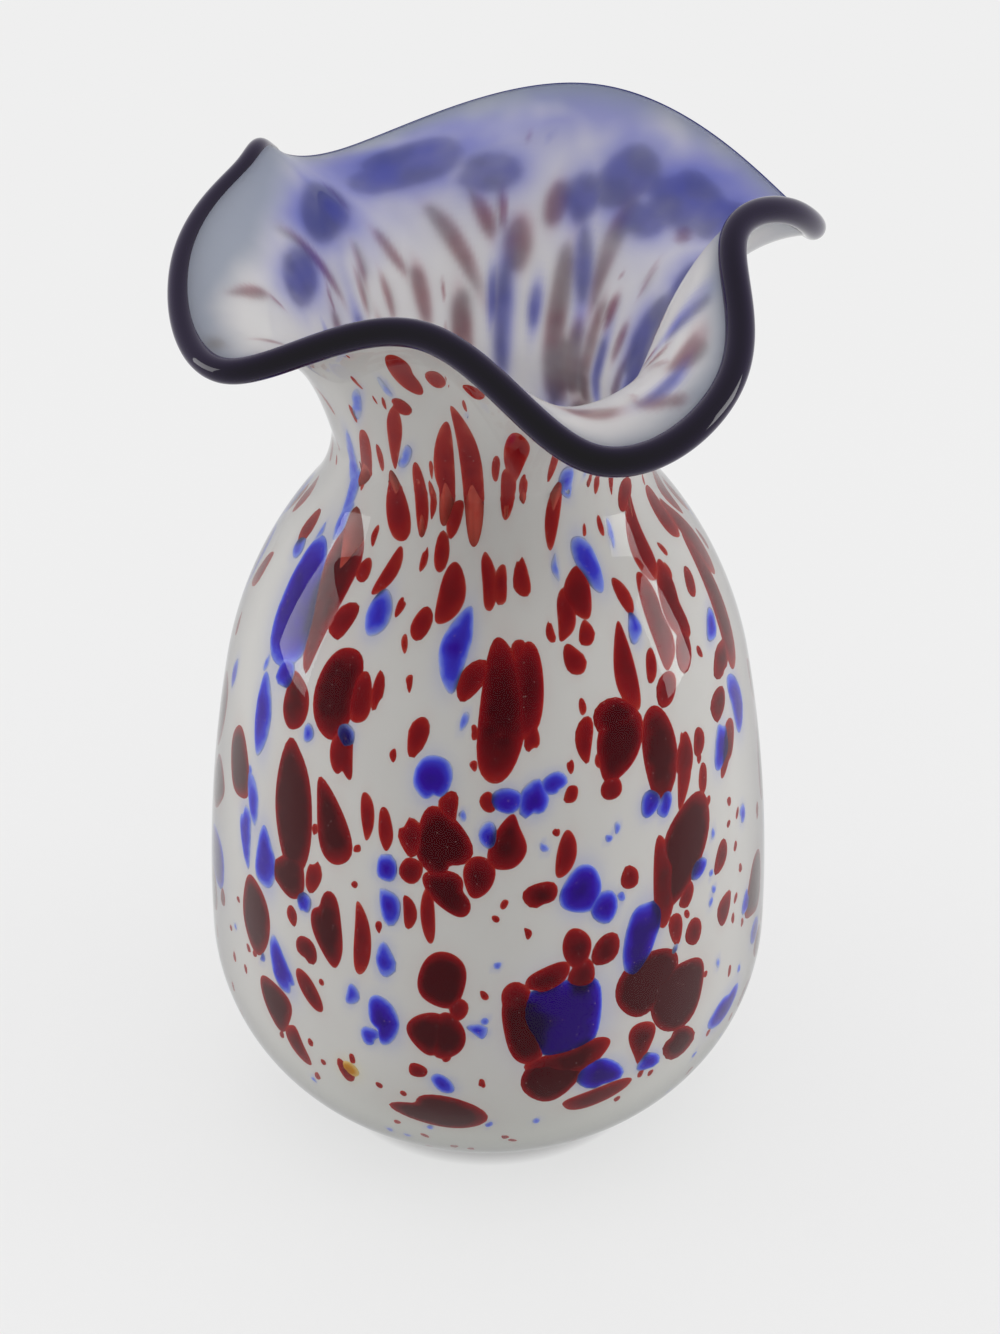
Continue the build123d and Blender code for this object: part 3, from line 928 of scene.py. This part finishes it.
RED_STOPS = [(0.0, "#B0483C"), (0.15, "#98201C"), (0.40, "#800F16"), (0.62, "#680A12"), (0.85, "#40050B")]
BLUE_STOPS = [(0.0, "#AEB2C8"), (0.15, "#7484DA"), (0.38, "#3C3CC8"), (0.62, "#32109E"), (0.90, "#26056C")]
AMBER_STOPS = [(0.0, "#D8C080"), (0.5, "#B87A1C"), (1.0, "#8A4A10")]
wear(casing, clear_cased_glass())
wear(lining, opal_outside(), opal_inside())
wear(red_chips, chip_glass("transparent red glass chips, melted in", RED_STOPS, "#B98A86"))
wear(blue_chips, chip_glass("transparent blue glass chips, melted in", BLUE_STOPS, "#8C9AD8"))
wear(amber_chips, chip_glass("transparent amber glass specks, melted in", AMBER_STOPS, "#D8C080"))
wear(trail, aubergine_glass())

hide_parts("clear_casing")
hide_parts("opal_lining")
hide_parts("red_chips")
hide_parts("blue_chips")
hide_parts("lip_trail")
for piece in (casing, lining, red_chips, blue_chips, amber_chips, trail):
    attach(piece, "root")


# ---------------------------------------------------------------- stage, light and camera

# Half the width of the card, and how far from the glass it is darkened, in metres
CARD_HALF = 3.0
SHADOW_REACH = 0.005

# The lamps light the card out to the first of these reaches, and past the second it is plain
NEAR_CARD = 0.35
FAR_CARD = 0.6

# The camera's distance and the height that it looks at, in metres, its tilt, and its lens in millimetres
AWAY = 0.721
AIM_HEIGHT = 0.1155
TILT = math.radians(34)
LENS = 85
SENSOR = 36
SHIFT = 0.009

# The softboxes face this point on the vase's axis
LAMP_AIM = (0, 0, 0.15)


def seen_ray(tree):
    """1 for what the camera sees, by itself or in or through the glass."""
    path = add(tree, "ShaderNodeLightPath").outputs
    seen = add(tree, "ShaderNodeMath", {0: path["Is Camera Ray"], 1: path["Is Glossy Ray"]}, operation="MAXIMUM")
    return add(tree, "ShaderNodeMath", {0: seen, 1: path["Is Transmission Ray"]}, operation="MAXIMUM")


def table_top():
    """Matt white card, which is both the table and the backdrop, with a soft shadow close round the foot."""
    bm = bmesh.new()
    bmesh.ops.create_grid(bm, x_segments=1, y_segments=1, size=CARD_HALF)
    table = finished("table", bm)
    made, tree = material("matt white card")
    card = add(tree, "ShaderNodeBsdfPrincipled", {
        "Base Color": paint("#E6E6E6"), "Roughness": 0.9, "Specular IOR Level": 0.0})
    near = add(tree, "ShaderNodeAmbientOcclusion", {"Distance": SHADOW_REACH}).outputs["AO"]
    shadow = add(tree, "ShaderNodeMix", {0: near, 1: paint("#4A4446"), 2: paint("#EFEFEF")}, data_type="RGBA")
    glow = add(tree, "ShaderNodeEmission", {"Color": shadow, "Strength": 1.0})
    place = add(tree, "ShaderNodeTexCoord").outputs["Object"]
    reach = add(tree, "ShaderNodeVectorMath", {0: place}, operation="LENGTH")
    plain = add(tree, "ShaderNodeMapRange", {
        "Value": reach, "From Min": NEAR_CARD, "From Max": FAR_CARD, "To Min": 0.75, "To Max": 1.0})
    share = add(tree, "ShaderNodeMath", {0: seen_ray(tree), 1: plain}, operation="MULTIPLY")
    both = add(tree, "ShaderNodeMixShader", {0: share, 1: card, 2: glow})
    add(tree, "ShaderNodeOutputMaterial", {"Surface": both})
    wear(table, made)


def studio():
    """A dim room with a broad pale ceiling: brightest overhead and falling off to the horizon. The card goes on
    behind it, as far as the eye, mirrors and glass see."""
    world = bpy.data.worlds.new("studio")
    bpy.context.scene.world = world
    world.use_nodes = True
    tree = world.node_tree
    tree.nodes.clear()
    way = add(tree, "ShaderNodeTexCoord").outputs["Generated"]
    height = add(tree, "ShaderNodeSeparateXYZ", {0: way}).outputs["Z"]
    ceiling = add(tree, "ShaderNodeMapRange", {
        "Value": height, "From Min": 0.25, "From Max": 0.85, "To Min": 0.08, "To Max": 1.42},
        interpolation_type="SMOOTHSTEP")
    light = add(tree, "ShaderNodeBackground", {"Color": (1, 1, 1, 1), "Strength": ceiling})
    card = add(tree, "ShaderNodeBackground", {"Color": paint("#EFEFEF"), "Strength": 1.0})
    both = add(tree, "ShaderNodeMixShader", {0: seen_ray(tree), 1: light, 2: card})
    add(tree, "ShaderNodeOutputWorld", {"Surface": both})


def softbox(name, place, width, height, power):
    lamp = bpy.data.lights.new(name, "AREA")
    lamp.shape = "RECTANGLE"
    lamp.size = width
    lamp.size_y = height
    lamp.energy = power
    box = bpy.data.objects.new(name, lamp)
    bpy.context.collection.objects.link(box)
    box.location = place
    way = np.array(LAMP_AIM) - np.array(place)
    yaw = math.atan2(way[1], way[0]) - math.pi / 2
    pitch = math.atan2(way[2], math.hypot(way[0], way[1])) + math.pi / 2
    box.rotation_euler = (pitch, 0, yaw)


def camera():
    lens = bpy.data.cameras.new("camera")
    lens.lens = LENS
    lens.sensor_fit = "VERTICAL"
    lens.sensor_height = SENSOR
    lens.shift_x = SHIFT
    eye = bpy.data.objects.new("camera", lens)
    bpy.context.collection.objects.link(eye)
    eye.location = (0, -AWAY * math.cos(TILT), AIM_HEIGHT + AWAY * math.sin(TILT))
    eye.rotation_euler = (math.pi / 2 - TILT, 0, 0)
    bpy.context.scene.camera = eye


table_top()
studio()
softbox("left softbox", (-1.1, 0.08, 0.27), 0.46, 0.46, 3.4)
softbox("right softbox", (1.1, 0.0, 0.27), 0.36, 0.46, 3.8)
camera()
bpy.context.scene.view_settings.view_transform = "Standard"
